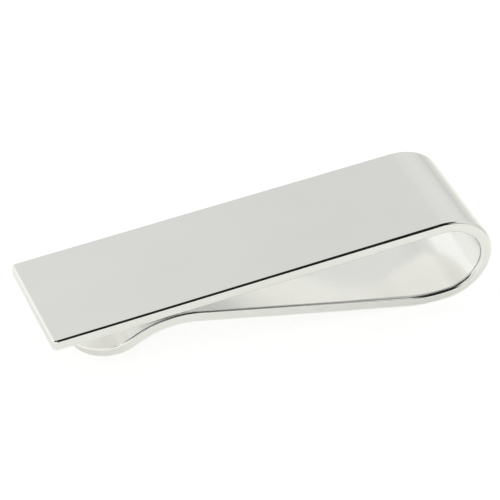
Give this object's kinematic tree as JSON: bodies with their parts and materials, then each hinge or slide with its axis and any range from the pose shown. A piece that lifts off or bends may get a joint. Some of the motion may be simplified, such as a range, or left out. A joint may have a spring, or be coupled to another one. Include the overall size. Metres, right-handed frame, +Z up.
{
  "type": "folded strip money clip",
  "caption": "Polished metal strip folded into a flat face plate, a round spring bend and a leaf whose crest grips folded notes, with a thumb lip.",
  "frame": {"origin": "under the middle of the clip's length and width, on the surface that it stands on", "axes": "+X along the length towards the closed bend, +Y across the strip, +Z up from the surface; the clip stands on its heel and lip tip, so the face plate slopes up 7 degrees towards +X"},
  "size_m": [0.059, 0.015, 0.0132],
  "materials": {
    "polished_face": "mirror polished rhodium or chrome plate with faint hairlines along the strip",
    "polished_spring": "polished plate, slightly drawn across the bend"
  },
  "bodies": {
    "plate": {"face_plate": "polished_face"},
    "shoulder": {"upper_shoulder": "polished_spring"},
    "crown": {"bend_crown": "polished_spring"},
    "heel": {"lower_heel": "polished_spring"},
    "root_leaf": {"leaf_root": "polished_spring"},
    "middle_leaf": {"leaf_middle": "polished_spring"},
    "tip": {"leaf_neck": "polished_spring", "grip_crest": "polished_spring", "lip_fold": "polished_spring", "thumb_lip": "polished_face"}
  },
  "joints": [
    {"name": "shoulder_flex", "type": "hinge", "parent": "shoulder", "child": "plate", "pos_m": [0.0211, 0, 0.01317], "axis": [0, 1, 0], "range_deg": [0, 1.18], "stiffness_Nm_per_rad": 440, "springref_deg": -0.03},
    {"name": "crown_flex", "type": "hinge", "parent": "crown", "child": "shoulder", "pos_m": [0.02901, 0, 0.0087], "axis": [0, 1, 0], "range_deg": [0, 1.77]},
    {"name": "heel_flex", "type": "hinge", "parent": "heel", "child": "crown", "pos_m": [0.02459, 0, 0.0003], "axis": [0, 1, 0], "range_deg": [0, 1.34]},
    {"name": "root_flex", "type": "hinge", "parent": "root_leaf", "child": "heel", "pos_m": [0.01811, 0, 0.00028], "axis": [0, 1, 0], "range_deg": [0, 1.14]},
    {"name": "middle_flex", "type": "hinge", "parent": "middle_leaf", "child": "root_leaf", "pos_m": [0.00843, 0, 0.002], "axis": [0, 1, 0], "range_deg": [0, 0.98]},
    {"name": "neck_flex", "type": "hinge", "parent": "middle_leaf", "child": "tip", "pos_m": [-0.00125, 0, 0.00372], "axis": [0, -1, 0], "range_deg": [0, 0.56]}
  ],
  "couplings": [
    {"joint": "crown_flex", "follows": "shoulder_flex", "ratio": 1.488},
    {"joint": "heel_flex", "follows": "shoulder_flex", "ratio": 1.126},
    {"joint": "root_flex", "follows": "shoulder_flex", "ratio": 0.956},
    {"joint": "middle_flex", "follows": "shoulder_flex", "ratio": 0.817},
    {"joint": "neck_flex", "follows": "shoulder_flex", "ratio": 0.462}
  ]
}
